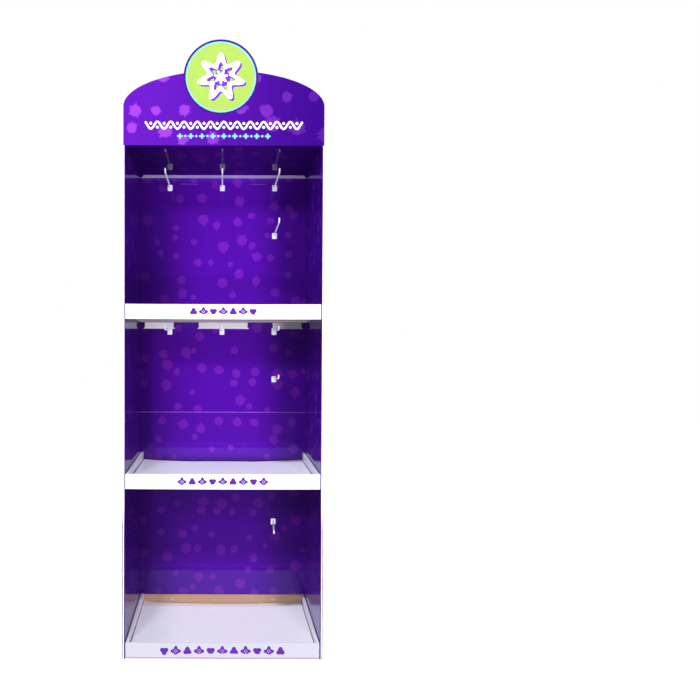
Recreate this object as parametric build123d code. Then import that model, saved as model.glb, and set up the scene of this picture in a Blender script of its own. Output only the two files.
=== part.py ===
# Free-standing display stand of folded corrugated board, with three bays, front-lipped trays, plastic
# product hooks on the back wall and an arched header with a roundel.
#
# Millimetres, +Z up, the open front faces -Y. The origin is the centre of the base, on the floor.

import os
from math import radians, sqrt, tan

from build123d import *

# Driving sizes of the whole stand
body_width = 552.0
body_depth = 280.0
body_height = 1407.0
bay_count = 3
bay_foot = 10.5
bottom_lip_top = 46.5
seam_above_lip = 143.0
cut_overrun = 5.0

# Boards, and the play between two boards that slide together
shell_board = 3.0
liner_board = 1.6
header_board_thickness = 3.0
tray_board = 2.0
pad_board = 2.0
riser_board = 3.0
board_play = 0.1
fold_radius = 1.4

# Outer shell: its front edges are folded back on themselves
hem_depth = 40.0
hem_gap = 0.2

# Liner
liner_setback = 0.5
liner_seam_gap = 0.6
liner_back_lift = 56.2
flange_depth = 27.0
flange_mitre = 13.0
slit_width = 1.2
slit_length = 57.0
slit_drop = 21.0
slit_offset = 111.0

# Header board
arch_rise = 98.0
shoulder_rise = 104.0
roundel_radius = 101.0
roundel_rise = 184.0
roundel_offset = -8.5
tongue_length = 70.0
tongue_inset = 8.0
tongue_corner = 10.0

# Ceiling panel
ceiling_rise = 9.5
ceiling_flap = 30.0
ceiling_flap_back_inset = 60.0
ceiling_flap_slope = 12.0
ceiling_corner_relief = 1.0

# Trays
lip_side_gap = 1.2
shelf_lip_height = 41.0
bottom_lip_clearance = 3.0
floor_drop = 16.5
roll_gap = 0.2
side_roll_width = 8.5
side_rise = 13.0
slit_under_panel = 2.0
tray_back_gap = 1.0
flap_plate_gap = 0.4
flap_ear = 3.5
flap_ear_height = 5.0
middle_flap_half = 80.5
outer_flap_inner = 160.0
outer_flap_side_inset = 11.0
tab_length = 60.0
tab_reach = 2.6
tab_slot_play = 0.3
tab_hem_clearance = 8.0
tab_back_inset = 30.0

# Pads under the two shelf trays
pad_depth_below_floor = 12.0
pad_side_inset = 1.0

# Riser under the lowest tray
riser_side_inset = 8.0

# Hooks
hook_pitch = 169.5
hook_shift = -4.0
row_below_next_lip = 60.5
side_below_row = 154.0
hook_reach = 150.0
arm_size = 5.0
arm_chamfer = 0.9
tip_rise = 12.0
tip_bend_radius = 8.0
tip_lean = 65.0
row_droop = 2.0
side_lift = 1.2
bottom_side_skew = 4.6
plate_width = 15.6
plate_height = 19.0
plate_thickness = 2.4
plate_corner = 1.5
arm_above_plate_centre = 4.0
boss_size = 7.4
boss_length = 5.0
neck_width = 3.2
slot_height = 12.0
slot_play = 0.2
lock_length = 14.0
lock_height = 5.0
lock_thickness = 2.4
lock_play = 0.1

# Snap rivets
rivet_offset = 165.0
rivet_height = 40.0
rivet_head_radius = 6.5
rivet_head_thickness = 1.8
rivet_shank_radius = 2.6
rivet_hole_play = 0.2

# Planes that follow from the sizes above
overall_depth = body_depth + lock_play + lock_thickness
y_front = -overall_depth / 2
y_shell_back = y_front + body_depth
y_shell_inner = y_shell_back - shell_board
y_liner_back = y_shell_inner - board_play
y_wall = y_liner_back - liner_board

half_width = body_width / 2
half_header = half_width - shell_board - board_play
half_wing_inner = half_header - header_board_thickness
hem_width = 2 * shell_board + hem_gap
half_liner = half_width - hem_width - board_play
half_inside = half_liner - liner_board
half_lip = half_inside - lip_side_gap

ceiling_height = body_height + ceiling_rise
bay_pitch = (body_height - bay_foot) / bay_count
bay_names = ("bottom", "middle", "top")
bay_lip_tops = {name: bottom_lip_top + index * bay_pitch for index, name in enumerate(bay_names)}
seam_height = bay_lip_tops["middle"] + seam_above_lip
flap_drop = floor_drop + tray_board
flap_height = row_below_next_lip - plate_height / 2 - flap_plate_gap - flap_drop
row_above_lip = bay_pitch - row_below_next_lip
side_above_lip = row_above_lip - side_below_row
hook_columns = {
    "left": hook_shift - hook_pitch,
    "center": hook_shift,
    "right": hook_shift + hook_pitch,
}


def unit(vector):
    """A plane vector at length one."""
    length = sqrt(vector[0] ** 2 + vector[1] ** 2)
    return (vector[0] / length, vector[1] / length)


def inner_line(points, thickness):
    """The line at one board's thickness to the right of a walk along the points, mitred at each fold."""
    shifted = []
    last = len(points) - 1
    for index, point in enumerate(points):
        before = points[max(index - 1, 0)]
        after = points[min(index + 1, last)]
        start = before if index else point
        along_in = unit((point[0] - start[0], point[1] - start[1])) if index else None
        along_out = unit((after[0] - point[0], after[1] - point[1])) if index < last else None
        along_in = along_in or along_out
        along_out = along_out or along_in
        normal_in = (along_in[1], -along_in[0])
        normal_out = (along_out[1], -along_out[0])
        spread = 1 + normal_in[0] * normal_out[0] + normal_in[1] * normal_out[1]
        shift_x = thickness * (normal_in[0] + normal_out[0]) / spread
        shift_y = thickness * (normal_in[1] + normal_out[1]) / spread
        shifted.append((point[0] + shift_x, point[1] + shift_y))
    return shifted


def folded_section(points, thickness):
    """A folded board's section: the points are its outer face, and each fold is rounded outside."""
    outline = list(points) + inner_line(points, thickness)[::-1]
    face = make_face(Polyline(*outline, close=True))
    folds = [v for v in face.vertices() if any(is_near(v, point) for point in points[1:-1])]
    return fillet(folds, min(fold_radius, thickness))


def is_near(vertex, point):
    """Whether a vertex of a section lies on an outline point."""
    return abs(vertex.X - point[0]) + abs(vertex.Y - point[1]) < fold_radius / 10


def plan_prism(face, low, high):
    """A section drawn in plan, raised from one height to another."""
    return Pos(0, 0, low) * extrude(face, amount=high - low)


def front_prism(face, front, back):
    """A section drawn as seen from the front, x and z, carried from one depth to another."""
    plane = Plane(origin=(0, front, 0), x_dir=(1, 0, 0), z_dir=(0, -1, 0))
    return extrude(plane * face, amount=front - back)


def side_prism(face, left, right):
    """A section drawn as seen from the right side, y and z, carried from one width to another."""
    plane = Plane(origin=(left, 0, 0), x_dir=(0, 1, 0), z_dir=(1, 0, 0))
    return extrude(plane * face, amount=right - left)


def block(x_range, y_range, z_range):
    """A box between three pairs of limits."""
    size = (x_range[1] - x_range[0], y_range[1] - y_range[0], z_range[1] - z_range[0])
    middle = (sum(x_range) / 2, sum(y_range) / 2, sum(z_range) / 2)
    return Pos(*middle) * Box(*size)


def polygon(points):
    """A filled outline through the points."""
    return make_face(Polyline(*points, close=True))


def save(name, shape):
    """One named piece of the stand."""
    export_step(shape, f"parts/{name}.step")


# Places on the back wall


def hook_places():
    """Each hook's name with its column, height, droop and skew."""
    places = {}
    for bay, lip_top in bay_lip_tops.items():
        for column, x in hook_columns.items():
            places[f"hook_{bay}_{column}"] = (x, lip_top + row_above_lip, row_droop, 0)
        skew = bottom_side_skew if bay == "bottom" else 0
        side_height = lip_top + side_above_lip
        places[f"hook_{bay}_side"] = (hook_columns["right"], side_height, -side_lift, skew)
    return places


def hook_slots():
    """The upright slots that all hooks pass through, as one cutter through shell and liner."""
    width = neck_width + 2 * slot_play
    y_range = (y_wall - cut_overrun, y_shell_back + cut_overrun)
    cutters = []
    for x, z, droop, skew in hook_places().values():
        z_range = (z - slot_height / 2 - slot_play, z + slot_height / 2 + slot_play)
        cutters.append(block((x - width / 2, x + width / 2), y_range, z_range))
    return cutters


def rivet_holes():
    """The two round holes of the snap rivets."""
    radius = rivet_shank_radius + rivet_hole_play
    depth = body_depth / 2
    bore = Rot(90, 0, 0) * Cylinder(radius, depth)
    return [Pos(x, y_shell_back, rivet_height) * bore for x in (-rivet_offset, rivet_offset)]


# Outer shell


def make_outer_shell():
    """Back and two sides of one board, with a hem folded inwards along each front edge."""
    hem_end = y_front + hem_depth
    hem_inner = half_width - hem_width
    outer = [
        (-hem_inner, hem_end),
        (-hem_inner, y_front),
        (-half_width, y_front),
        (-half_width, y_shell_back),
        (half_width, y_shell_back),
        (half_width, y_front),
        (hem_inner, y_front),
        (hem_inner, hem_end),
    ]
    shell = plan_prism(folded_section(outer, shell_board), 0, body_height)
    return shell - hook_slots() - rivet_holes()


# Liners


def liner_wrap(low, high):
    """The sleeve's back and two sides between two heights."""
    front = y_front + liner_setback
    outer = [
        (-half_liner, front),
        (-half_liner, y_liner_back),
        (half_liner, y_liner_back),
        (half_liner, front),
    ]
    return plan_prism(folded_section(outer, liner_board), low, high)


def tab_slots(lip_top):
    """Slots in both liner sides for the tabs of one tray."""
    z_floor = lip_top - floor_drop
    z_range = (z_floor - tray_board - tab_slot_play, z_floor + tab_slot_play)
    cutters = []
    for y_low, y_high in tab_spans():
        y_range = (y_low - tab_slot_play, y_high + tab_slot_play)
        for side in (-1, 1):
            x_range = sorted((side * (half_inside - cut_overrun), side * (half_liner + cut_overrun)))
            cutters.append(block(x_range, y_range, z_range))
    return cutters


def tab_spans():
    """Where along the depth the two tabs on each side of a tray lie."""
    front_start = y_front + hem_depth + tab_hem_clearance
    back_end = y_wall - tab_back_inset
    return [(front_start, front_start + tab_length), (back_end - tab_length, back_end)]


def back_slits():
    """Two level slits in the back panel, under the flange."""
    z_low = ceiling_height - slit_drop
    z_range = (z_low, z_low + slit_width)
    y_range = (y_wall - cut_overrun, y_liner_back + cut_overrun)
    half = slit_length / 2
    return [block((x - half, x + half), y_range, z_range) for x in (-slit_offset, slit_offset)]


def make_liner_upper():
    """Upper sleeve, with a mitred flange folded forward from the top of its back panel."""
    wrap = liner_wrap(seam_height + liner_seam_gap / 2, ceiling_height)
    flange_front = y_wall - flange_depth
    flange = polygon(
        [
            (-half_inside, y_wall),
            (half_inside, y_wall),
            (half_inside - flange_mitre, flange_front),
            (flange_mitre - half_inside, flange_front),
        ]
    )
    wrap += plan_prism(flange, ceiling_height - liner_board, ceiling_height)
    behind_header = y_front + header_board_thickness + board_play
    notch = block(
        (-half_width, half_width),
        (y_front - cut_overrun, behind_header),
        (body_height - board_play, ceiling_height + cut_overrun),
    )
    return wrap - notch - hook_slots() - back_slits() - tab_slots(bay_lip_tops["top"])


def make_liner_lower():
    """Lower sleeve: its sides reach the floor, and its back panel ends above the riser's flap."""
    wrap = liner_wrap(0, seam_height - liner_seam_gap / 2)
    y_range = (y_wall - liner_board, y_liner_back + cut_overrun)
    low_back = block((-half_width, half_width), y_range, (-cut_overrun, liner_back_lift))
    return wrap - low_back - hook_slots() - tab_slots(bay_lip_tops["middle"])


# Header


def arch_outline():
    """The header's front outline: straight sides, an elliptical arch and the roundel."""
    shoulder = body_height + shoulder_rise
    tongue_low = body_height - tongue_length
    sides = polygon(
        [
            (-half_header, tongue_low),
            (half_header, tongue_low),
            (half_header, shoulder),
            (-half_header, shoulder),
        ]
    )
    arch = Pos(0, shoulder) * Ellipse(half_header, arch_rise)
    roundel = Pos(roundel_offset, body_height + roundel_rise) * Circle(roundel_radius)
    return sides + arch + roundel


def wing_outline():
    """The header's outline from the side: the front board, a quarter ellipse and a tucked tongue."""
    top = body_height + roundel_rise + roundel_radius
    front_board = polygon(
        [
            (y_front, body_height),
            (y_front + header_board_thickness, body_height),
            (y_front + header_board_thickness, top),
            (y_front, top),
        ]
    )
    sweep = Pos(y_front, body_height) * Ellipse(body_depth, shoulder_rise)
    window = polygon(
        [
            (y_front, body_height),
            (y_shell_back, body_height),
            (y_shell_back, body_height + shoulder_rise),
            (y_front, body_height + shoulder_rise),
        ]
    )
    tongue_front = y_front + hem_depth + tongue_inset
    tongue_back = y_shell_inner - tongue_inset
    tongue = polygon(
        [
            (tongue_front, body_height),
            (tongue_front + tongue_corner, body_height - tongue_length),
            (tongue_back - tongue_corner, body_height - tongue_length),
            (tongue_back, body_height),
        ]
    )
    return front_board + (sweep & window) + tongue


def make_header_board():
    """Arched front and two side wings of one board, with tongues between shell and liner."""
    outer = [
        (-half_header, y_shell_back),
        (-half_header, y_front),
        (half_header, y_front),
        (half_header, y_shell_back),
    ]
    low = body_height - tongue_length
    high = body_height + roundel_rise + roundel_radius
    board = plan_prism(folded_section(outer[::-1], header_board_thickness), low, high)
    front_cut = front_prism(arch_outline(), y_front, y_shell_back)
    side_cut = side_prism(wing_outline(), -half_header, half_header)
    return board & front_cut & side_cut


def make_ceiling_panel():
    """Panel on top of the liner, with flaps folded up behind the header's front and wings."""
    half = half_wing_inner - board_play
    front = y_front + header_board_thickness + board_play
    back = y_liner_back
    low = ceiling_height
    high = low + ceiling_flap
    panel = block((-half, half), (front, back), (low, low + liner_board))
    corner = liner_board + ceiling_corner_relief
    front_flap = block((corner - half, half - corner), (front, front + liner_board), (low, high))
    flap_back = back - ceiling_flap_back_inset
    side_flap = polygon(
        [
            (front + corner, low),
            (flap_back, low),
            (flap_back - ceiling_flap_slope, high),
            (front + corner, high),
        ]
    )
    left_flap = side_prism(side_flap, -half, -half + liner_board)
    right_flap = side_prism(side_flap, half - liner_board, half)
    return panel + front_flap + left_flap + right_flap


# Trays


def tray_cross_section(lip_top, roll_top, y):
    """Floor and both rolled sides at one depth, from the foot of one inner panel to the other."""
    floor_top = lip_top - floor_drop
    floor_low = floor_top - tray_board
    roll_inner = half_lip - side_roll_width
    foot = floor_top + slit_under_panel
    outer = [
        (roll_inner, foot),
        (roll_inner, roll_top),
        (half_lip, roll_top),
        (half_lip, floor_low),
        (-half_lip, floor_low),
        (-half_lip, roll_top),
        (-roll_inner, roll_top),
        (-roll_inner, foot),
    ]
    plane = Plane(origin=(0, y, 0), x_dir=(1, 0, 0), z_dir=(0, -1, 0))
    return plane * folded_section(outer, tray_board)


def lip_section(lip_top, lip_low):
    """Rolled front lip: up from the floor, over the top and down the outside past the floor."""
    floor_low = lip_top - floor_drop - tray_board
    lip_back = y_front + 2 * tray_board + roll_gap
    outer = [
        (y_front, lip_low),
        (y_front, lip_top),
        (lip_back, lip_top),
        (lip_back, floor_low + tray_board),
    ]
    roll = folded_section(outer, tray_board)
    foot = polygon(
        [
            (lip_back - tray_board, floor_low),
            (lip_back, floor_low),
            (lip_back, floor_low + tray_board),
            (lip_back - tray_board, floor_low + tray_board),
        ]
    )
    return roll + foot


def back_flaps(lip_top, y_back):
    """Three flaps folded down along the back wall, each a little wider at its lower corners."""
    high = lip_top - flap_drop
    low = high - flap_height
    ear_top = low + flap_ear_height
    spans = [
        (outer_flap_side_inset - half_lip, -outer_flap_inner),
        (-middle_flap_half, middle_flap_half),
        (outer_flap_inner, half_lip - outer_flap_side_inset),
    ]
    flaps = []
    for left, right in spans:
        outline = polygon(
            [
                (left, high),
                (left + flap_ear / 2, ear_top),
                (left - flap_ear, low),
                (right + flap_ear, low),
                (right - flap_ear / 2, ear_top),
                (right, high),
            ]
        )
        flaps.append(front_prism(outline, y_back - tray_board, y_back))
    return flaps


def side_tabs(lip_top):
    """Tabs at floor level that lock into the liner's slots."""
    floor_top = lip_top - floor_drop
    z_range = (floor_top - tray_board, floor_top)
    tabs = []
    for y_range in tab_spans():
        for side in (-1, 1):
            x_range = sorted((side * (half_lip - tray_board), side * (half_liner + tab_reach)))
            tabs.append(block(x_range, y_range, z_range))
    return tabs


def make_tray(lip_top, lip_low, y_back):
    """Floor, sides rolled over and rising to the rear, and rolled front lip of one folded tray."""
    lip_back = y_front + 2 * tray_board + roll_gap
    lip = side_prism(lip_section(lip_top, lip_low), -half_lip, half_lip)
    near = tray_cross_section(lip_top, lip_top, lip_back)
    far = tray_cross_section(lip_top, lip_top + side_rise, y_back)
    return lip + loft([near, far], ruled=True)


def make_shelf_tray(lip_top):
    """A tray on tabs, with flaps hanging from its rear edge."""
    y_back = y_wall - tray_back_gap
    tray = make_tray(lip_top, lip_top - shelf_lip_height, y_back)
    return tray + back_flaps(lip_top, y_back) + side_tabs(lip_top)


def make_pad(lip_top):
    """Open-topped folded pad under a shelf tray: a bottom and four low walls."""
    high = lip_top - floor_drop - tray_board
    low = high - pad_depth_below_floor
    half = half_lip - pad_side_inset
    front = y_front + 2 * tray_board + roll_gap
    back = y_wall - tray_back_gap - tray_board
    outer = block((-half, half), (front, back), (low, high))
    inner = block(
        (pad_board - half, half - pad_board),
        (front + pad_board, back - pad_board),
        (low + pad_board, high + cut_overrun),
    )
    return outer - inner


def make_base_riser():
    """Riser under the lowest tray, its rear wall carried up as a flap on the back of the shell."""
    high = bottom_lip_top - floor_drop - tray_board
    half = half_lip - riser_side_inset
    front = y_front + 2 * tray_board + roll_gap
    back = y_shell_inner
    outer = block((-half, half), (front, back), (0, high))
    inner = block(
        (riser_board - half, half - riser_board),
        (front + riser_board, back - riser_board),
        (-cut_overrun, high - riser_board),
    )
    rear_flap = block((-half, half), (back - riser_board, back), (0, liner_back_lift - board_play))
    return outer - inner + rear_flap - rivet_holes()


# Hooks and rivets


def hook_arm(droop, skew):
    """A chamfered arm from the plate to an upturned tip, drooping and swung about its root."""
    straight = hook_reach - plate_thickness - tip_rise / 2
    tip_run = tip_rise / tan(radians(tip_lean))
    corners = ((0, 0, 0), (0, -straight, 0), (0, -straight - tip_run, tip_rise))
    path = FilletPolyline(*corners, radius=tip_bend_radius)
    start = Plane(origin=(0, 0, 0), z_dir=(0, -1, 0))
    section = chamfer(Rectangle(arm_size, arm_size).vertices(), arm_chamfer)
    arm = sweep(start * section, path=path)
    wide = start * Rectangle(boss_size, boss_size)
    narrow = start.offset(boss_length) * Rectangle(arm_size, arm_size)
    boss = loft([wide, narrow])
    return Rot(droop, 0, -skew) * (arm + boss)


def make_hook(x, z, droop, skew):
    """Plate, arm, neck through the slot and a cross bar turned behind the back panel."""
    plate_low = z - plate_height / 2
    plate = block(
        (x - plate_width / 2, x + plate_width / 2),
        (y_wall - plate_thickness, y_wall),
        (plate_low, plate_low + plate_height),
    )
    plate = chamfer(plate.edges().filter_by(Axis.Y), plate_corner)
    root = (x, y_wall - plate_thickness / 2, z + arm_above_plate_centre)
    bar_front = y_shell_back + lock_play
    neck = block(
        (x - neck_width / 2, x + neck_width / 2),
        (y_wall, bar_front),
        (z - lock_height / 2, z + lock_height / 2),
    )
    bar = block(
        (x - lock_length / 2, x + lock_length / 2),
        (bar_front, bar_front + lock_thickness),
        (z - lock_height / 2, z + lock_height / 2),
    )
    bar = chamfer(bar.edges().filter_by(Axis.Y), plate_corner)
    return plate + Pos(*root) * hook_arm(droop, skew) + neck + bar


def make_rivet(x):
    """A snap rivet: shank through flap and shell, with a low head on each side."""
    front = y_shell_inner - riser_board
    back = y_shell_back
    shank = Cylinder(rivet_shank_radius, back - front)
    shank = Pos(x, (front + back) / 2, rivet_height) * Rot(90, 0, 0) * shank
    crown = rivet_head_radius - rivet_head_thickness
    stand_on_base = (Align.CENTER, Align.CENTER, Align.MIN)
    low_head = Cone(rivet_head_radius, crown, rivet_head_thickness, align=stand_on_base)
    front_head = Pos(x, front, rivet_height) * Rot(90, 0, 0) * low_head
    back_head = Pos(x, back, rivet_height) * Rot(-90, 0, 0) * low_head
    return shank + front_head + back_head


def main():
    """Every piece of the stand, one file each."""
    os.makedirs("parts", exist_ok=True)
    save("outer_shell", make_outer_shell())
    save("liner_upper", make_liner_upper())
    save("liner_lower", make_liner_lower())
    save("header_board", make_header_board())
    save("ceiling_panel", make_ceiling_panel())
    for bay in ("top", "middle"):
        save(f"tray_{bay}", make_shelf_tray(bay_lip_tops[bay]))
        save(f"stiffener_{bay}", make_pad(bay_lip_tops[bay]))
    riser_face = y_shell_inner - riser_board - board_play
    save("tray_bottom", make_tray(bottom_lip_top, bottom_lip_clearance, riser_face))
    save("base_riser", make_base_riser())
    for name, place in hook_places().items():
        save(name, make_hook(*place))
    save("back_rivets", Compound([make_rivet(-rivet_offset), make_rivet(rivet_offset)]))


main()
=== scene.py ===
import math

import bmesh
import bpy
import numpy as np
from mathutils import Matrix, Vector


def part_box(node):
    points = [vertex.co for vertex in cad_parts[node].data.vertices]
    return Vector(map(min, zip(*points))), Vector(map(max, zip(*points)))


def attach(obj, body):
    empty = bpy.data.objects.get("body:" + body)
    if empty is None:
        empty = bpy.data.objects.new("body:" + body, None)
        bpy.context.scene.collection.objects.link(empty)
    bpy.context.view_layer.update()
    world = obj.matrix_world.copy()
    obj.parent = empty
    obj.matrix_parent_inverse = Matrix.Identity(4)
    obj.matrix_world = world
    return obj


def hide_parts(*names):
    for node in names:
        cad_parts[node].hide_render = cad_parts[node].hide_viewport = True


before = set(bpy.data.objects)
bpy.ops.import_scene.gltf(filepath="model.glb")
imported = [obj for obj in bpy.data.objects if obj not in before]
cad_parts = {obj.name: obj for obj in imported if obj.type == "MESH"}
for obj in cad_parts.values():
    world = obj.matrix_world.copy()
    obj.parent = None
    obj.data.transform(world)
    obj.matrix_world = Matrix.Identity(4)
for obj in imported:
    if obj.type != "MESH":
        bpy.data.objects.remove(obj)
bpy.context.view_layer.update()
print("frame loaded with", len(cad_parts), "nodes")

mm = 0.001
scene = bpy.context.scene


def cornersOf(node):  # lowest and highest corner of a CAD piece, in millimetres
    return [[float(value) / mm for value in corner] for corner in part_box(node)]


shellLow, shellHigh = cornersOf("outer_shell")
linerLow, linerHigh = cornersOf("liner_upper")
halfShell, backY = shellHigh[:2]
halfLiner, linerBack, ceilingZ = linerHigh
halfHeader, headerTop = cornersOf("header_board")[1][::2]
halfLip = cornersOf("tray_bottom")[1][0]
frontY = shellLow[1]
seamZ = (linerLow[2] + cornersOf("liner_lower")[1][2]) / 2


def addObject(name, data):
    made = bpy.data.objects.new(name, data)
    scene.collection.objects.link(made)
    return made


# Camera: level with the middle bay, close enough that the bays show their floors and ceilings

camera = {
    "place": (-1.5, -1555.0, 822.3),
    "pitchDown": 0.87,
    "roll": 0.17,
    "lens": 26.63,
    "sensor": 36.0,
    "shiftX": 0.182,
    "shiftY": 0.0269,
}


def makeCamera():
    data = bpy.data.cameras.new("studioCamera")
    data.lens = camera["lens"]
    data.sensor_width = camera["sensor"]
    data.shift_x = camera["shiftX"]
    data.shift_y = camera["shiftY"]
    made = addObject("studioCamera", data)
    made.location = [value * mm for value in camera["place"]]
    tilt = math.radians(90 - camera["pitchDown"])
    spin = Matrix.Rotation(tilt, 4, "X") @ Matrix.Rotation(math.radians(camera["roll"]), 4, "Z")
    made.rotation_euler = spin.to_euler()
    scene.camera = made


makeCamera()
print("camera placed")


# Small helpers for node materials


def addNode(tree, kind, **settings):
    made = tree.nodes.new(kind)
    for key, value in settings.items():
        setattr(made, key, value)
    return made


def feed(socket, value):  # a socket takes a link from another node, or a plain value
    if isinstance(value, bpy.types.NodeSocket):
        socket.id_data.links.new(value, socket)
    else:
        socket.default_value = value


def fedNode(kind, values, **settings):  # made in the tree of the first socket among its values
    tree = next(value.id_data for value in values if isinstance(value, bpy.types.NodeSocket))
    made = addNode(tree, kind, **settings)
    for socket, value in zip(made.inputs, values):
        feed(socket, value)
    return made


def calc(operation, *values, clamp=False):
    return fedNode("ShaderNodeMath", values, operation=operation, use_clamp=clamp).outputs[0]


def times(*values):
    product = values[0]
    for value in values[1:]:
        product = calc("MULTIPLY", product, value)
    return product


def scaled(value, share, start):  # the value times a share, on top of a start
    return calc("MULTIPLY_ADD", value, share, start)


def oneMinus(value):
    return calc("SUBTRACT", 1.0, value)


def sizeOf(value):
    return calc("ABSOLUTE", value)


def distance(value, other):
    return sizeOf(calc("SUBTRACT", value, other))


def above(value, limit):
    return calc("GREATER_THAN", value, limit)


def below(value, limit):
    return calc("LESS_THAN", value, limit)


def between(value, start, end):  # 0 at start, 1 at end, eased in between
    values = (value, start, end, 0.0, 1.0)
    return fedNode("ShaderNodeMapRange", values, interpolation_type="SMOOTHSTEP").outputs[0]


def vectorCalc(operation, *values, output=0):
    return fedNode("ShaderNodeVectorMath", values, operation=operation).outputs[output]


def joinAxes(x, y, z=0.0):
    return fedNode("ShaderNodeCombineXYZ", (x, y, z)).outputs[0]


def splitAxes(value):
    return fedNode("ShaderNodeSeparateXYZ", (value,)).outputs


def noiseOf(place, scale, detail=3.0):
    made = fedNode("ShaderNodeTexNoise", (place,))
    made.inputs["Scale"].default_value = scale
    made.inputs["Detail"].default_value = detail
    return made.outputs[0]


def mixColours(share, *colours):
    made = fedNode("ShaderNodeMix", (share,), data_type="RGBA")
    for socket, colour in zip(made.inputs[6:8], colours):
        feed(socket, colour if isinstance(colour, bpy.types.NodeSocket) else (*colour, 1.0))
    return made.outputs[2]


def tinted(colour, share):
    return [min(value * share, 1.0) for value in colour]


finishes = {}


def startMaterial(name):  # gives the shader, and where a point is on the object in millimetres
    made = bpy.data.materials.new(name)
    made.use_nodes = True
    finishes[name] = made
    tree = made.node_tree
    place = addNode(tree, "ShaderNodeTexCoord").outputs["Object"]
    return tree.nodes["Principled BSDF"], vectorCalc("MULTIPLY", place, (1000.0, 1000.0, 1000.0))


def normalOf(shader):
    return splitAxes(addNode(shader.id_data, "ShaderNodeNewGeometry").outputs["Normal"])


def bumpFrom(shader, height, distance):
    made = addNode(shader.id_data, "ShaderNodeBump")
    made.inputs["Distance"].default_value = distance * mm
    feed(made.inputs["Height"], height)
    feed(shader.inputs["Normal"], made.outputs[0])


def glaze(shader, colour, roughness, coat=0.0, coatRoughness=0.05, coatIndex=1.4, specular=0.5):
    names = ("Base Color", "Roughness", "Coat Weight", "Coat Roughness", "Coat IOR", "Specular IOR Level")
    for name, value in zip(names, (colour, roughness, coat, coatRoughness, coatIndex, specular)):
        feed(shader.inputs[name], value)


# Printed and plain boards

inks = {
    "deepPurple": (0.105, 0.0045, 0.47),
    "wallBlot": (0.2, 0.016, 0.56),
    "headerLight": (0.096, 0.0075, 0.375),
    "headerDark": (0.03, 0.0014, 0.18),
    "headerBlot": (0.29, 0.045, 0.64),
    "white": (0.84, 0.83, 0.85),
    "coolWhite": (0.9, 0.885, 0.985),
    "lowLipShade": (0.48, 0.465, 0.56),
    "paleLilac": (0.84, 0.73, 0.98),
    "seamHighlight": (0.34, 0.08, 0.76),
    "kraft": (0.56, 0.345, 0.228),
    "kraftDark": (0.25, 0.135, 0.09),
    "foldLine": (0.36, 0.19, 0.22),
    "wornAndShadedEdge": (0.085, 0.036, 0.03),
    "hollowDark": (0.03, 0.018, 0.045),
    "hollowLight": (0.05, 0.03, 0.07),
    "padDark": (0.58, 0.48, 0.47),
    "padLight": (0.72, 0.62, 0.6),
}

wallBlots = {"spacing": 60.0, "size": 18.5, "rays": 3.6, "rayShare": 0.38, "soft": 1.5, "empty": 0.16, "seed": 11.0}
headerBlots = {"spacing": 70.0, "size": 24.0, "rays": 3.8, "rayShare": 0.38, "soft": 2.4, "empty": 0.20, "seed": 40.0}
sideBlots = {"spacing": 95.0, "size": 34.0, "rays": 2.6, "rayShare": 0.50, "soft": 1.0, "empty": 0.25, "seed": 75.0}
blotShape = {"jitter": 0.72, "gap": 0.50, "ray": 0.72, "body": 0.86, "smallest": 0.50, "spread": 0.55}


def blots(flat, sizes):
    # Each cell of a jittered lattice holds one blot: its rim is the cell's own size times a body share
    # plus rays, which are noise read along a circle round the cell's centre.
    shifted = vectorCalc("ADD", flat, (sizes["seed"] * 31.0, sizes["seed"] * 17.0, 0.0))
    cells = fedNode("ShaderNodeTexVoronoi", (shifted,), voronoi_dimensions="2D", feature="F1")
    cells.inputs["Scale"].default_value = 1.0 / sizes["spacing"]
    cells.inputs["Randomness"].default_value = blotShape["jitter"]
    away = vectorCalc("SUBTRACT", shifted, cells.outputs["Position"])
    reach = vectorCalc("LENGTH", away, output=1)
    chance = splitAxes(cells.outputs["Color"])
    around = vectorCalc("SCALE", vectorCalc("NORMALIZE", away))
    around.node.inputs["Scale"].default_value = sizes["rays"]
    around = vectorCalc("ADD", around, joinAxes(0.0, 0.0, times(chance[1], 60.0)))
    rays = between(noiseOf(around, 1.0, detail=1.0), blotShape["gap"], blotShape["ray"])
    own = scaled(chance[0], sizes["size"] * blotShape["spread"], sizes["size"] * blotShape["smallest"])
    rim = times(own, scaled(rays, sizes["rayShare"], blotShape["body"]))
    inside = between(calc("SUBTRACT", rim, reach), -sizes["soft"], sizes["soft"])
    return times(inside, above(chance[2], sizes["empty"]))


def flatPlace(place, normal):
    # The two coordinates along an upright or level face, chosen by where the face looks.
    x, y, z = splitAxes(place)
    toSide, level = sizeOf(normal[0]), sizeOf(normal[2])
    across = calc("ADD", times(x, oneMinus(toSide)), times(y, toSide))
    across = scaled(normal[0], 730.0, across)  # the two sides read different parts of the pattern
    along = calc("ADD", times(z, oneMinus(level)), times(y, level))
    return joinAxes(across, along)


flute = {"board": 3.0, "pitch": 6.3, "swing": 0.36, "medium": (0.07, 0.13), "liner": (0.38, 0.42)}


def fluteEdge(depth, along):
    # A cut edge: two outer papers with a waved paper between them, the wave a sine along the edge.
    share = calc("DIVIDE", depth, flute["board"])
    wave = calc("SINE", times(along, 2 * math.pi / flute["pitch"]))
    medium = oneMinus(between(distance(share, scaled(wave, flute["swing"], 0.5)), *flute["medium"]))
    paper = between(distance(share, 0.5), *flute["liner"])
    return mixColours(calc("MAXIMUM", medium, paper), inks["kraftDark"], inks["kraft"])


def boardBump(shader, place, pitch, rise, wave):
    # Upright flutes that show through the paper, and the slow waviness of a large board.
    x, y, _ = splitAxes(place)
    ribs = calc("SINE", times(calc("ADD", x, y), 2 * math.pi / pitch))
    slow = noiseOf(vectorCalc("MULTIPLY", place, (1.0, 1.0, 0.22)), 0.011, detail=2.0)
    bumpFrom(shader, scaled(ribs, rise, times(slow, wave * 20)), 1.0)


# bands for the wall's painted shade and for the painted highlight at the liners' seam
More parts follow.
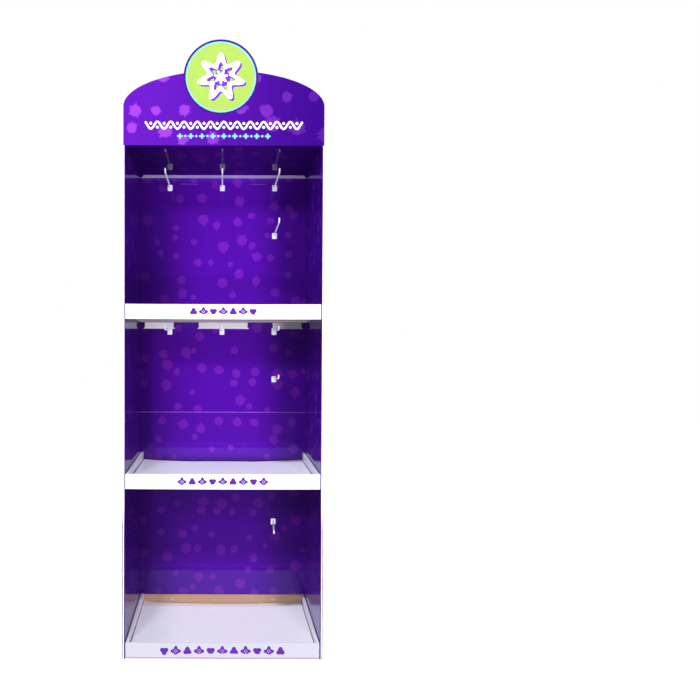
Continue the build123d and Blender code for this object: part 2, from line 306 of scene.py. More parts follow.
wallPaintedLightBands = {  # bands in millimetres, along x or z, from where a tone begins to where it is full
    "topBay": (950.0, 975.0),
    "lowBay": (520.0, 490.0),
    "underTray": (760.0, 900.0),
    "left": (-30.0, -210.0),
    "leftEdge": (-200.0, -256.0),
    "right": (60.0, 262.0),
    "cornerX": (-90.0, -240.0),
    "cornerZ": (1210.0, 1010.0),
    "topFoot": (1130.0, 1030.0),
    "lowFoot": (145.0, 215.0),
    "lowHead": (300.0, 440.0),
    "seam": (0.9, 2.0),
    "seamEnd": (12.0, 8.0),
    "slit": (8.0, 4.0),
    "slitDrop": 21.0,
}


def makeWallPrint(name, strength=1.0, onlyUp=False):
    # Glossy purple print with blots on upright faces, bare white board on level ones or only on those facing up.
    shader, place = startMaterial(name)
    normal = normalOf(shader)
    x, _, z = splitAxes(place)

    def band(value, key):
        return between(value, *wallPaintedLightBands[key])

    deep = tinted(inks["deepPurple"], strength)
    base = mixColours(noiseOf(place, 0.004, detail=1.0), tinted(deep, 0.92), tinted(deep, 1.08))
    splash = blots(flatPlace(place, normal), wallBlots)
    colour = mixColours(splash, base, tinted(inks["wallBlot"], strength))
    onSide = above(sizeOf(normal[0]), 0.5)
    colour = mixColours(times(splash, onSide, 0.5), colour, inks["headerBlot"])
    # painted shade: the purple darkens towards both sides, under a tray, in the lowest bay and at the foot of the top
    # one
    topBay = band(z, "topBay")
    lowBay = band(z, "lowBay")
    midBay = calc("SUBTRACT", oneMinus(topBay), lowBay)
    underTray = times(band(z, "underTray"), midBay)
    right = band(x, "right")
    corner = times(band(x, "cornerX"), band(z, "cornerZ"))
    shades = [
        (band(x, "left"), scaled(topBay, 0.22, 0.26)),
        (band(x, "leftEdge"), scaled(topBay, -0.16, scaled(midBay, 0.16, 0.44))),
        (right, scaled(lowBay, -0.24, 0.44)),
        (times(right, underTray), 0.30),
        (underTray, 0.20),
        (midBay, 0.07),
        (lowBay, 0.28),
        (times(lowBay, band(z, "lowFoot")), 0.40),
        (times(lowBay, band(z, "lowHead")), 0.36),
        (times(band(z, "topFoot"), topBay), 0.36),
        (times(corner, topBay), 0.42),
    ]
    paintedBrightness = 1.0
    for where, share in shades:
        paintedBrightness = times(paintedBrightness, oneMinus(times(where, share)))
    colour = mixColours(oneMinus(paintedBrightness), colour, tinted(inks["deepPurple"], 0.12))
    # a painted highlight along the liners' seam, lighter purple as on a lit cut edge, fading where the painted shade
    # falls
    toSeam = distance(z, seamZ)
    seam = oneMinus(band(toSeam, "seam"))
    colour = mixColours(times(seam, paintedBrightness, scaled(onSide, -0.75, 0.85)), colour, inks["seamHighlight"])
    # painted shade: the bare board is dimmer at the seam's two ends and round the liner's slits
    seamEnd = times(band(toSeam, "seamEnd"), between(sizeOf(x), halfLiner - 4.0, halfLiner - 3.0))
    dim = calc("MAXIMUM", seamEnd, band(distance(z, ceilingZ - wallPaintedLightBands["slitDrop"]), "slit"))
    # the bare white board is painted pale lilac: the purple walls' light cast on it, painted
    plain = above(normal[2] if onlyUp else sizeOf(normal[2]), 0.5)
    colour = mixColours(times(plain, scaled(dim, -0.85, 1.0)), colour, inks["paleLilac"])
    glaze(shader, colour, 0.5, coat=1.0, coatRoughness=0.04, specular=0.02)
    boardBump(shader, place, pitch=7.2, rise=0.008, wave=0.35)


def makeHeaderPrint():
    # Violet that darkens from left to right, with blots that fade the same way; the folded-in side is bare board, the
    # cut edges fluted.
    shader, place = startMaterial("headerPrint")
    normal = normalOf(shader)
    x, y, z = splitAxes(place)
    span = between(x, -halfHeader * 0.95, halfHeader * 1.1)
    base = mixColours(span, inks["headerLight"], inks["headerDark"])
    spots = times(blots(flatPlace(place, normal), headerBlots), scaled(span, -0.74, 0.88))
    colour = mixColours(spots, base, inks["headerBlot"])
    outward = times(normal[0], x)
    nearFront = below(y, frontY + 6.0)
    printed = calc("MAXIMUM", above(outward, 0.5 * halfHeader), below(normal[1], -0.4))
    bare = calc("MAXIMUM", below(outward, -0.5 * halfHeader), times(above(normal[1], 0.6), nearFront))
    depth = calc("MINIMUM", calc("SUBTRACT", halfHeader, sizeOf(x)), calc("SUBTRACT", y, frontY))
    cut = fluteEdge(depth, calc("ADD", x, calc("ADD", y, z)))
    cut = mixColours(times(below(normal[2], -0.4), nearFront), cut, inks["headerDark"])
    back = mixColours(noiseOf(place, 0.9), inks["kraft"], tinted(inks["kraft"], 1.25))
    colour = mixColours(bare, mixColours(printed, cut, colour), back)
    glaze(shader, colour, 0.5, coat=1.0, coatRoughness=0.06, coatIndex=1.33, specular=0.02)
    boardBump(shader, place, pitch=7.2, rise=0.008, wave=0.2)


shellTones = {  # distances from the front edge or the outer face, heights above the floor
    "blotFade": (900.0, 120.0),
    "edgeIn": (3.5, 2.0),
    "edgeBack": (2.8, 0.4),
    "edgeTop": (470.0, 350.0),
    "shadowLineGap": 2.2,
    "shadowLineWidens": 1.9,
    "hem": 42.0,
}


def makeShellBoard():
    # White satin outside with faint blots low on the sides, bare board inside, fluted cut edges.
    shader, place = startMaterial("shellBoard")
    normal = normalOf(shader)
    x, y, z = splitAxes(place)
    outX = sizeOf(x)
    spots = blots(flatPlace(place, normal), sideBlots)
    spots = times(spots, between(z, *shellTones["blotFade"]), above(sizeOf(normal[0]), 0.6), 0.55)
    colour = mixColours(spots, inks["white"], inks["paleLilac"])
    # the front edges are brown low down, partly wear and partly painted shade, with a painted shadow line where the
    # tray's lip meets them
    edgeX = between(outX, *[halfShell - inset for inset in shellTones["edgeIn"]])
    edgeY = between(y, *[frontY + inset for inset in shellTones["edgeBack"]])
    low = between(z, *shellTones["edgeTop"])
    ragged = calc("MULTIPLY_ADD", noiseOf(place, 0.05), 0.7, 0.45, clamp=True)
    colour = mixColours(times(edgeX, edgeY, times(low, ragged)), colour, inks["wornAndShadedEdge"])
    shadowLineX = scaled(low, shellTones["shadowLineWidens"], halfLip + shellTones["shadowLineGap"])
    line = between(calc("SUBTRACT", outX, shadowLineX), 0.4, -0.4)
    colour = mixColours(times(line, edgeY), colour, tinted(inks["headerDark"], 0.5))
    deep = above(y, frontY + shellTones["hem"])
    inward = below(times(normal[0], x), -0.5 * halfShell)
    bare = calc("MAXIMUM", times(inward, deep), below(times(normal[1], deep), -0.5))
    colour = mixColours(bare, colour, inks["kraft"])
    depthSide = calc("MODULO", calc("SUBTRACT", halfShell, outX), 3.1)
    depthBack = calc("SUBTRACT", backY, y)
    nearBack = below(depthBack, 3.05)
    depth = calc("ADD", times(depthBack, nearBack), times(depthSide, oneMinus(nearBack)))
    cut = fluteEdge(depth, calc("ADD", x, y))
    colour = mixColours(above(sizeOf(normal[2]), 0.6), colour, cut)
    glaze(shader, colour, 0.34, coat=0.25, coatRoughness=0.16, specular=0.35)
    boardBump(shader, place, pitch=6.4, rise=0.015, wave=0.25)


# bands for the trays' painted shade and for the lowest lip's darker lower edge
trayShadeAndEdgeBands = {  # bands in millimetres along the axis that the name ends with
    "leftX": (-110.0, -240.0),
    "flapX": (150.0, 215.0),
    "flapY": (100.0, 120.0),
    "flapZ": (949.0, 947.0),
    "lowLipZ": (80.0, 60.0),
    "darkEdgeZ": (6.8, 5.0),
    "lipDepth": 3.0,
}


def makeTrayBoard():
    # Coated white board: faint cloudiness and a soft sheen; painted shade on the left of the floors, on the right
    # flap and on the lowest tray's greyer lip, whose lower edge is darker.
    shader, place = startMaterial("trayBoard")
    normal = normalOf(shader)
    x, y, z = splitAxes(place)
    white = inks["coolWhite"]
    colour = mixColours(noiseOf(place, 0.02), tinted(white, 0.975), white)
    # painted shade: the left of the floors and the right flap are darker
    leftShade = times(between(x, *trayShadeAndEdgeBands["leftX"]), above(normal[2], 0.5), 0.20)
    onFlap = times(between(y, *trayShadeAndEdgeBands["flapY"]), between(z, *trayShadeAndEdgeBands["flapZ"]))
    flapShade = times(between(x, *trayShadeAndEdgeBands["flapX"]), onFlap, 0.80)
    colour = mixColours(calc("ADD", leftShade, flapShade, clamp=True), colour, tinted(white, 0.25))
    # painted shade: the lowest tray's lip is greyer
    lowLip = times(between(z, *trayShadeAndEdgeBands["lowLipZ"]), between(y, frontY + trayShadeAndEdgeBands["lipDepth"], frontY))
    colour = mixColours(lowLip, colour, inks["lowLipShade"])
    colour = mixColours(times(lowLip, between(z, *trayShadeAndEdgeBands["darkEdgeZ"]), 0.9), colour, inks["foldLine"])
    glaze(shader, colour, 0.36, coat=0.25, coatRoughness=0.16, specular=0.3)
    boardBump(shader, place, pitch=5.0, rise=0.006, wave=0.06)


def makeCutEdge():
    # Bare cut edge of tray board: streaks along it and the paper's grain.
    shader, place = startMaterial("cutEdge")
    x, y, z = splitAxes(place)
    streak = calc("SINE", times(calc("ADD", x, calc("ADD", y, z)), 2.6))
    share = scaled(streak, 0.25, noiseOf(place, 1.4))
    glaze(shader, mixColours(share, inks["kraftDark"], tinted(inks["kraft"], 1.4)), 0.9, specular=0.2)


def makeHollowShade():
    # The inside of a rolled fold: near black, painted shade where the board's unprinted back lies in the hollow.
    shader, place = startMaterial("hollowShade")
    grain = noiseOf(place, 0.5)
    glaze(shader, mixColours(grain, inks["hollowDark"], inks["hollowLight"]), 0.9, specular=0.1)


def makeKraftBoard():
    # Brown board: long fibres, darker specks and the shadow lines of its flutes.
    shader, place = startMaterial("kraftBoard")
    fibre = noiseOf(vectorCalc("MULTIPLY", place, (0.25, 0.25, 1.0)), 0.55, detail=4.0)
    colour = mixColours(fibre, tinted(inks["kraft"], 0.82), tinted(inks["kraft"], 1.18))
    speck = between(noiseOf(place, 1.3, detail=2.0), 0.66, 0.74)
    colour = mixColours(times(speck, 0.35), colour, inks["kraftDark"])
    glaze(shader, colour, 0.78, specular=0.25)
    boardBump(shader, place, pitch=6.4, rise=0.04, wave=0.2)


padShade = {"front": (58.0, 30.0), "rear": (84.0, 104.0)}  # bands along y


def makePadBoard():
    # Greyish recycled board under the shelf trays, lightest in the band that the light reaches.
    shader, place = startMaterial("padBoard")
    y = splitAxes(place)[1]
    fibre = noiseOf(vectorCalc("MULTIPLY", place, (0.2, 1.0, 1.0)), 0.6, detail=4.0)
    colour = mixColours(fibre, inks["padDark"], inks["padLight"])
    shaded = calc("MAXIMUM", between(y, *padShade["front"]), between(y, *padShade["rear"]))
    colour = mixColours(times(shaded, 0.55), tinted(inks["padLight"], 1.2), colour)
    colour = mixColours(times(shaded, 0.45), colour, inks["kraftDark"])
    glaze(shader, colour, 0.7, specular=0.3)
    boardBump(shader, place, pitch=6.4, rise=0.03, wave=0.2)


plastics = {
    "hookPlastic": {"colour": (0.94, 0.93, 0.95), "roughness": 0.3, "coat": 0.5, "paintedGlow": (0.78, 0.70, 1.0)},
    "rivetPlastic": {"colour": (0.62, 0.47, 0.38), "roughness": 0.35, "coat": 0.3, "paintedGlow": (0.0, 0.0, 0.0)},
}


def makePlastic(name, colour, roughness, coat, paintedGlow):
    # Moulded plastic: a fine grain and faint flow marks, and a painted glow in its given colour, so the hooks'
    # plastic seems lit a little from within.
    shader, place = startMaterial(name)
    flow = noiseOf(vectorCalc("MULTIPLY", place, (1.0, 0.1, 1.0)), 0.7, detail=2.0)
    glaze(shader, mixColours(flow, tinted(colour, 0.94), colour), roughness, coat=coat, coatRoughness=0.1)
    # painted glow: light given off though the plastic is no lamp
    shader.inputs["Emission Color"].default_value = (*paintedGlow, 1.0)
    shader.inputs["Emission Strength"].default_value = 0.21
    shader.inputs["Subsurface Weight"].default_value = 0.15
    shader.inputs["Subsurface Radius"].default_value = (0.004, 0.004, 0.004)
    bumpFrom(shader, noiseOf(place, 2.5, detail=2.0), 0.02)


def makeInk(name, colour):
    # Printed ink: a slightly uneven film over board.
    shader, place = startMaterial(name)
    tint = mixColours(noiseOf(place, 0.06), tinted(colour, 0.93), tinted(colour, 1.05))
    glaze(shader, tint, 0.4, coat=0.8, coatRoughness=0.07, specular=0.15)


makeWallPrint("wallPrint")
# the ceiling takes the wall's print at under a third of its strength: painted shade for faces turned down
makeWallPrint("ceilingShadedPrint", strength=0.29, onlyUp=True)
makeHeaderPrint()
makeShellBoard()
makeTrayBoard()
makeCutEdge()
makeHollowShade()
makeKraftBoard()
makePadBoard()
for plasticName, plastic in plastics.items():
    makePlastic(plasticName, **plastic)
print("materials made:", len(finishes))

nodeFinishes = {
    "outer_shell": "shellBoard",
    "liner_upper": "wallPrint",
    "liner_lower": "wallPrint",
    "header_board": "headerPrint",
    "ceiling_panel": "ceilingShadedPrint",
    "base_riser": "kraftBoard",
    "stiffener_top": "padBoard",
    "stiffener_middle": "padBoard",
}
for nodeName, finishName in nodeFinishes.items():
    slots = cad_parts[nodeName].data.materials
    slots.clear()
    slots.append(finishes[finishName])
print("boards dressed:", len(nodeFinishes))


# Surfaces as grids of points


def gridOf(x, y, z):
    return np.stack(np.broadcast_arrays(x, y, z), -1)


def roundAngles(count):
    return np.linspace(0, 2 * np.pi, count, endpoint=False)


def unitSteps(line):  # the direction at each point of a line
    along = np.gradient(line, axis=0)
    return along / np.linalg.norm(along, axis=1)[:, None]


def lengthsAlong(line):
    return np.concatenate([[0], np.cumsum(np.linalg.norm(np.diff(line, axis=0), axis=1))])


def gridPart(grid, closeRows=False, capEnds=False, kind=0, capKind=0):
    # Rows of points run along a path and columns round a section; neighbours are joined by quads. The kinds are
    # material slots, of the quads and of the two end caps.
    rows, columns = grid.shape[:2]
    row = np.arange(rows if closeRows else rows - 1)[:, None]
    column = np.arange(columns)
    here, ahead = row * columns, (row + 1) % rows * columns
    beside = (column + 1) % columns
    quads = np.stack([here + column, here + beside, ahead + beside, ahead + column], -1)
    faces = quads.reshape(-1, 4).tolist()
    kinds = np.broadcast_to(kind, quads.shape[:2]).reshape(-1).tolist()
    if capEnds:
        faces.append(list(range(columns)))
        faces.append(list(range((rows - 1) * columns, rows * columns)))
        kinds += [capKind, capKind]
    return grid.reshape(-1, 3), faces, kinds


def joinParts(parts):
    points, faces, kinds, start = [], [], [], 0
    for partPoints, partFaces, partKinds in parts:
        points.append(partPoints)
        faces += [[index + start for index in face] for face in partFaces]
        kinds += partKinds
        start += len(partPoints)
    return np.concatenate(points), faces, kinds


def makePiece(name, parts, materialNames, replaced=(), smooth=40.0):
    points, faces, kinds = joinParts(parts)
    mesh = bpy.data.meshes.new(name)
    mesh.from_pydata((points * mm).tolist(), [], faces)
    mesh.polygons.foreach_set("material_index", kinds)
    work = bmesh.new()
    work.from_mesh(mesh)
    bmesh.ops.remove_doubles(work, verts=work.verts, dist=0.000002)
    bmesh.ops.recalc_face_normals(work, faces=work.faces)
    work.to_mesh(mesh)
    work.free()
    mesh.polygons.foreach_set("use_smooth", [True] * len(mesh.polygons))
    mesh.set_sharp_from_angle(angle=math.radians(smooth))
    for materialName in materialNames:
        mesh.materials.append(finishes[materialName])
    piece = addObject(name, mesh)
    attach(piece, "root")
    if replaced:
        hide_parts(*replaced)


def roundedLine(points, radius, steps=4):
    # Each inner corner becomes the quadratic curve from a radius before it to a radius after it.
    points = np.array(points, float)
    corner = points[1:-1]
    ends = []
    for away in (points[:-2] - corner, points[2:] - corner):
        length = np.linalg.norm(away, axis=1)[:, None]
        ends.append(corner + away / length * np.minimum(radius, 0.45 * length))
    before, after = ends
    t = np.linspace(0, 1, steps + 1)[None, :, None]
    curve = (1 - t) ** 2 * before[:, None] + 2 * t * (1 - t) * corner[:, None] + t ** 2 * after[:, None]
    return np.concatenate([points[:1], curve.reshape(-1, 2), points[-1:]])


def denserLine(points, step):
    # Extra points at even steps along the line, its own points kept.
    lengths = lengthsAlong(points)
    stations = np.unique(np.round(np.concatenate([lengths, np.arange(0, lengths[-1], step)]), 4))
    return np.stack([np.interp(stations, lengths, points[:, axis]) for axis in (0, 1)], -1)


def offsetLine(points, distance):
    # The line at a board's thickness to the right of the walk, mitred where it turns.
    points = np.array(points, float)
    along = np.diff(points, axis=0)
    along /= np.linalg.norm(along, axis=1)[:, None]
    normal = np.stack([along[:, 1], -along[:, 0]], -1)
    before = np.concatenate([normal[:1], normal])
    after = np.concatenate([normal, normal[-1:]])
    spread = 1 + np.sum(before * after, axis=1, keepdims=True)
    return points + distance * (before + after) / spread


def foldedSection(points, board, radius, step=None):
    # A folded board's section as a closed loop: rounded outside line, then the mitred inside line back.
    outer = roundedLine(points, radius)
    inner = roundedLine(offsetLine(points, board), radius * 0.3, steps=2)[::-1]
    if step:
        outer, inner = denserLine(outer, step), denserLine(inner, step)
    return np.concatenate([outer, inner])


def prismPart(outline, low, high, axes):
    # An outline raised from one level to another, its rim a cut edge; axes says where they go in x, y, z.
    across, along = np.array(outline).T
    flat = gridOf(across, along, np.array([low, high])[:, None])
    return gridPart(flat[..., list(axes)], capEnds=True, kind=1)


# Trays: one folded sheet each, with a rolled lip, rolled sides and a floor that gives a little

tray = {
    "board": 2.0,
    "rollGap": 0.2,
    "lipHeight": 41.0,
    "floorDrop": 16.5,
    "sideRoll": 8.5,
    "sideRise": 13.0,
    "slit": 2.0,
    "slot": 1.5,
    "foldRadius": 1.5,
    "lipBow": 0.7,
    "lipDip": 0.6,
    "floorSag": 1.6,
    "cornerRise": 5.0,
    "rearCurve": 5.0,
    "acrossPoints": 45,
    "alongPoints": 40,
    "sectionStep": 14.0,
    "floorBelow": (8.0, 14.0),  # a point this far under the lip's top counts as floor, eased in between
    "floorInside": (4.0, 34.0),  # and this far inside the side rolls
    "flapSpans": [(-255.9, -160.0), (-80.5, 80.5), (160.0, 255.9)],
    "flapHeight": 32.1,
    "flapEar": 3.5,
    "tabStarts": [48.0, 185.3],
    "tabLength": 60.0,
    "tabReach": 5.4,
}


def trayLip(lipLow, lipTop, lipBack, floorTop):
    # The rolled front: it bows forward and dips by the square of the place across, its foot the furthest.
    board = tray["board"]
    path = [(frontY, lipLow), (frontY, lipTop), (lipBack, lipTop), (lipBack, floorTop - board)]
    y, z = foldedSection(path, board, tray["foldRadius"]).T
    across = np.linspace(-halfLip, halfLip, tray["acrossPoints"])[:, None]
    bow = 1 - (across / halfLip) ** 2
    forward = tray["lipBow"] * bow * np.clip((lipTop - z) / tray["lipHeight"], 0, 1)
    return gridPart(gridOf(across, y - forward, z - tray["lipDip"] * bow), capEnds=True, capKind=1)


def trayTrough(lipTop, lipBack, floorTop, backEdge):
    # The section is carried to the rear, its sides climbing evenly with the way back. The floor sags by one minus
    # the square of the place across, and its rear corners curl up by the cube of that place.
    board = tray["board"]
    inner = halfLip - tray["sideRoll"]
    foot = floorTop + tray["slit"]
    trough = [
        (inner, foot), (inner, lipTop), (halfLip, lipTop), (halfLip, floorTop - board),
        (-halfLip, floorTop - board), (-halfLip, lipTop), (-inner, lipTop), (-inner, foot),
    ]
    section = foldedSection(trough, board, tray["foldRadius"], step=tray["sectionStep"])
    # one line of the floor runs along each roll's lower edge, and what lies beyond it is slot and hollow
    slotEdge = inner - tray["slot"]
    nearSlot = (np.abs(section[:, 1] - floorTop) < 0.1) & (np.abs(np.abs(section[:, 0]) - slotEdge) < 7.0)
    section[nearSlot, 0] = np.sign(section[nearSlot, 0]) * slotEdge
    after = np.roll(section, -1, axis=0)
    widths = np.abs(np.stack([section[:, 0], after[:, 0]]))
    levels = np.stack([section[:, 1], after[:, 1]])
    rollEdge = halfLip - 0.9 * board
    inRoll = (widths.min(0) > slotEdge - 0.1) & (widths.max(0) > inner + 0.3) & (widths.max(0) < rollEdge)
    inRoll &= (levels.min(0) > floorTop - 0.1) & (levels.max(0) < lipTop - 0.5)
    along = np.linspace(0, 1, tray["alongPoints"])[:, None]
    x, z = section.T
    isFloor = np.interp(lipTop - z, tray["floorBelow"], (0, 1))
    isFloor = isFloor * np.interp(inner - np.abs(x), tray["floorInside"], (0, 1))
    middle = 1 - (x / halfLip) ** 2
    y = lipBack + (backEdge - lipBack) * along - tray["rearCurve"] * middle * isFloor * along ** 6
    climb = np.clip((z - foot) / (lipTop - 2.2 * board - foot), 0, 1)
    curl = tray["cornerRise"] * np.clip(np.abs(x) / slotEdge, 0, 1) ** 3 * along ** 2
    onFloor = (z < floorTop + 0.1) & (np.abs(x) < slotEdge + 0.1)
    closing = np.clip(1 - tray["slit"] / tray["cornerRise"], 0, 1)  # the slit beside the roll closes to the rear
    onFoot = (np.abs(z - foot) < 3.0) & (np.abs(x) < rollEdge) & ~onFloor
    z = z + tray["sideRise"] * along * climb - isFloor * middle * tray["floorSag"] * along ** 1.6
    z = z + curl * onFloor + curl * closing * onFoot * (1 - climb)
    # faces inside the roll take the third finish, the hollow's painted shade
    return gridPart(gridOf(x, y, z), capEnds=True, kind=np.where(inRoll, 2, 0), capKind=1)


def trayFlaps(floorTop, backEdge):
    # Three flaps hang from the floor's rear edge, each a little wider at its foot.
    board, ear = tray["board"], tray["flapEar"]
    top = floorTop - board
    foot = top - tray["flapHeight"]
    parts = []
    for span in tray["flapSpans"]:
        halves = []
        for side, edge in zip((-1, 1), span):
            rise = tray["cornerRise"] * (abs(edge) / halfLip) ** 3
            halves.append([
                (edge, top + 0.4 + rise), (edge - side * ear / 2, foot + 5),
                (edge + side * ear, foot + 0.6), (edge + side * (ear - 0.8), foot),
            ])
        parts.append(prismPart(halves[0] + halves[1][::-1], backEdge - board, backEdge, (0, 2, 1)))
    return parts


def trayTabs(floorTop):
    # Tabs with bevelled ends run from the floor into the liner's slots.
    board = tray["board"]
    parts = []
    for start in tray["tabStarts"]:
        first = frontY + start
        last = first + tray["tabLength"]
        for side in (-1, 1):
            root = side * (halfLip - board)
            tip = side * (halfLip + tray["tabReach"])
            outline = [(root, first), (tip - side * 1.5, first), (tip, first + 2), (tip, last - 2),
                       (tip - side * 1.5, last), (root, last)]
            parts.append(prismPart(outline, floorTop - board, floorTop, (0, 1, 2)))
    return parts


def makeTrayPiece(name, isShelf):
    low, high = cornersOf(name)
    lipTop = high[2] - tray["sideRise"]
    floorTop = lipTop - tray["floorDrop"]
    lipLow = lipTop - tray["lipHeight"] if isShelf else low[2]
    lipBack = frontY + 2 * tray["board"] + tray["rollGap"]
    parts = [trayLip(lipLow, lipTop, lipBack, floorTop), trayTrough(lipTop, lipBack, floorTop, high[1])]
    if isShelf:
        parts += trayFlaps(floorTop, high[1]) + trayTabs(floorTop)
    boards = ["trayBoard", "cutEdge", "hollowShade"]
    makePiece(name.replace("tray_", "foldedTray_"), parts, boards, [name])


for trayName in ("tray_top", "tray_middle", "tray_bottom"):
    makeTrayPiece(trayName, isShelf=trayName != "tray_bottom")
print("trays folded: 3")


# Hooks: a round-edged arm with an upturned tip, a soft-cornered plate and a bar behind the wall

hook = {
    "reach": 150.0,
    "armRadius": 2.4,
    "tipRadius": 2.4,
    "rootFlare": 1.4,
    "rootLength": 4.0,
    "rootStations": (0.8, 1.8, 3.0, 4.5),
    "tipRise": 12.0,
    "bend": 9.0,
    "tipLean": 65.0,
    "ringStep": 6.0,
    "tipZone": 2.2,
    "rowDroop": 2.0,
    "sideLift": 1.2,
    "lowSkew": 4.6,
    "plateWidth": 15.6,
    "plateHeight": 19.0,
    "plateThickness": 2.4,
    "plateCorner": 2.2,
    "armLift": 4.0,
    "linerBoard": 1.6,
    "joint": 0.5,
    "plateSoft": 0.6,
    "neckWidth": 3.2,
    "neckHeight": 5.0,
    "neckCorner": 1.0,
    "neckSoft": 0.2,
    "barLength": 14.0,
    "barThickness": 2.4,
    "barCorner": 1.6,
    "barSoft": 0.5,
}


def softSlab(width, height, thickness, corner, soft):
    # A rounded rectangle carried through its thickness, drawn in by the soft edge at both faces.
    angle = roundAngles(40)
    power = 2 / (2 + 1.1 * min(width, height) / corner)
    unitX, unitZ = [np.sign(wave) * np.abs(wave) ** power for wave in (np.cos(angle), np.sin(angle))]
    t = np.linspace(0, np.pi / 2, 4)
    drawnIn, raised = soft * (1 - np.sin(t)), soft * (1 - np.cos(t))
    inset = np.concatenate([[soft * 3], drawnIn, drawnIn[::-1], [soft * 3]])[:, None]
    level = np.concatenate([[0], raised, thickness - raised[::-1], [thickness]])[:, None]
    return gridOf((width / 2 - inset) * unitX, level, (height / 2 - inset) * unitZ)


def hookArm():
    # A circle carried along a straight run, a bend and a tip: flared at the root, closed round at the end.
    straight = hook["reach"] - hook["plateThickness"] - hook["tipRise"] / 2
    run = hook["tipRise"] / math.tan(math.radians(hook["tipLean"]))
    line = roundedLine([(0, 0), (-straight, 0), (-straight - run, hook["tipRise"])], hook["bend"], steps=8)
    line = denserLine(line, hook["ringStep"])
    s = lengthsAlong(line)
    tip = s[-1]
    atTip = tip - hook["tipRadius"] * (1 - np.cos(np.linspace(0.0, np.pi / 2, 6)[::-1]))
    stations = np.unique(np.round(np.concatenate([s[s < tip - hook["tipZone"]], atTip, hook["rootStations"]]), 4))
    y, z = [np.interp(stations, s, line[:, axis])[:, None] for axis in (0, 1)]
    along = unitSteps(np.concatenate([y, z], -1))
    radius = hook["armRadius"] + (hook["tipRadius"] - hook["armRadius"]) * stations / tip
    radius = radius + hook["rootFlare"] * np.exp(-stations / hook["rootLength"] * 2)
    toTip = np.clip((tip - stations) / hook["tipRadius"], 0, 1)
    radius = radius * np.sqrt(np.clip(1 - (1 - toTip) ** 2, 0.0004, 1))
    angle = roundAngles(14)
    up = radius[:, None] * np.sin(angle)
    return gridOf(radius[:, None] * np.cos(angle), y - up * along[:, 1:], z + up * along[:, :1])


def turned(grid, droop, skew):
    # Tipped forward about the plate's width, then swung about the upright.
    a, b = math.radians(droop), math.radians(-skew)
    tip = np.array([[1, 0, 0], [0, math.cos(a), -math.sin(a)], [0, math.sin(a), math.cos(a)]])
    swing = np.array([[math.cos(b), -math.sin(b), 0], [math.sin(b), math.cos(b), 0], [0, 0, 1]])
    return grid @ (tip @ swing).T


def makeHookPiece(name):
    low, high = cornersOf(name)
    bay, column = name.split("_")[1:]
    wallY = linerBack - hook["linerBoard"]
    shell = high[1] - hook["barThickness"]
    plateX = high[0] - hook["plateWidth"] / 2
    plateZ = low[2] + hook["plateHeight"] / 2
    skew = hook["lowSkew"] if (bay, column) == ("bottom", "side") else 0.0
    droop = -hook["sideLift"] if column == "side" else hook["rowDroop"]
    thick, tall, joint = hook["plateThickness"], hook["neckHeight"], hook["joint"]
    plate = softSlab(hook["plateWidth"], hook["plateHeight"], thick, hook["plateCorner"], hook["plateSoft"])
    arm = turned(hookArm(), droop, skew) + [0, 0, hook["armLift"]]
    neck = softSlab(hook["neckWidth"], tall, shell - wallY + 2 * joint, hook["neckCorner"], hook["neckSoft"])
    bar = softSlab(hook["barLength"], tall, hook["barThickness"], hook["barCorner"], hook["barSoft"])
    solids = [(plate, wallY - thick), (arm, wallY - thick / 2), (neck, wallY - joint), (bar, shell)]
    parts = [gridPart(grid + [plateX, y, plateZ], capEnds=True) for grid, y in solids]
    makePiece(name.replace("hook_", "productHook_"), parts, ["hookPlastic"], [name], smooth=50.0)


hookNames = sorted(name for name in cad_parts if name.startswith("hook_"))
for hookName in hookNames:
    makeHookPiece(hookName)
print("hooks made:", len(hookNames))


# Rivets: low domed heads on both sides of the flap

rivet = {"headRadius": 5.4, "headHeight": 1.6, "seat": 1.8, "shankRadius": 2.6, "offset": 165.0, "height": 40.0}


def domeProfile(radius, height):
    # Height falls as the square root of one minus the squared share of the radius, with a dimple in the middle.
    share = np.array([0.0, 0.12, 0.22, 0.3, 0.45, 0.6, 0.75, 0.88, 0.96, 1.0])
    rise = height * np.sqrt(np.clip(1 - share ** 2, 0, 1)) - 0.35 * height * np.exp(-(share / 0.2) ** 4)
    return share * radius, rise


def makeRivets():
    low, high = cornersOf("back_rivets")
    front = low[1] + rivet["seat"]
    back = high[1] - rivet["seat"]
    angle = roundAngles(32)
    radius, rise = domeProfile(rivet["headRadius"], rivet["headHeight"])
    r = np.concatenate([radius, [rivet["shankRadius"]] * 2, radius[::-1]])[:, None]
    y = np.concatenate([front - rise, [front, back], (back + rise)[::-1]])[:, None]
    parts = []
    for x in (-rivet["offset"], rivet["offset"]):
        parts.append(gridPart(gridOf(x + r * np.cos(angle), y, rivet["height"] + r * np.sin(angle))))
    makePiece("snapRivets", parts, ["rivetPlastic"], ["back_rivets"], smooth=60.0)


makeRivets()
print("rivets made: 2")


# Printed ornament: thin films of ink, every outline a function of the angle round its centre

film = {"proud": 0.12, "sunk": 0.05}


def starRim(count, depth, sharp=1.0, twist=0.0):
    # Radius one at the points, falling by depth between them as a raised cosine to a power.
    def rim(angle):
        wave = 0.5 + 0.5 * np.cos(count * angle + twist)
        return 1 - depth * (1 - wave ** sharp)
    return rim


def splashRim(seed, rays, reach):
    # A wobbling body with narrow rays of different lengths at uneven angles.
    chance = np.random.default_rng(seed)
    where = roundAngles(rays) + chance.uniform(-0.12, 0.12, rays)
    length = chance.uniform(0.3, 1.0, rays) * reach
    width = chance.uniform(0.05, 0.12, rays)

    def rim(angle):
        turnBy = np.angle(np.exp(1j * (angle[:, None] - where[None, :])))
        bumps = np.sum(length * np.exp(-(turnBy / width) ** 2), axis=1)
        return 0.72 + 0.05 * np.sin(3 * angle + seed) + 0.04 * np.sin(7 * angle) + bumps
    return rim


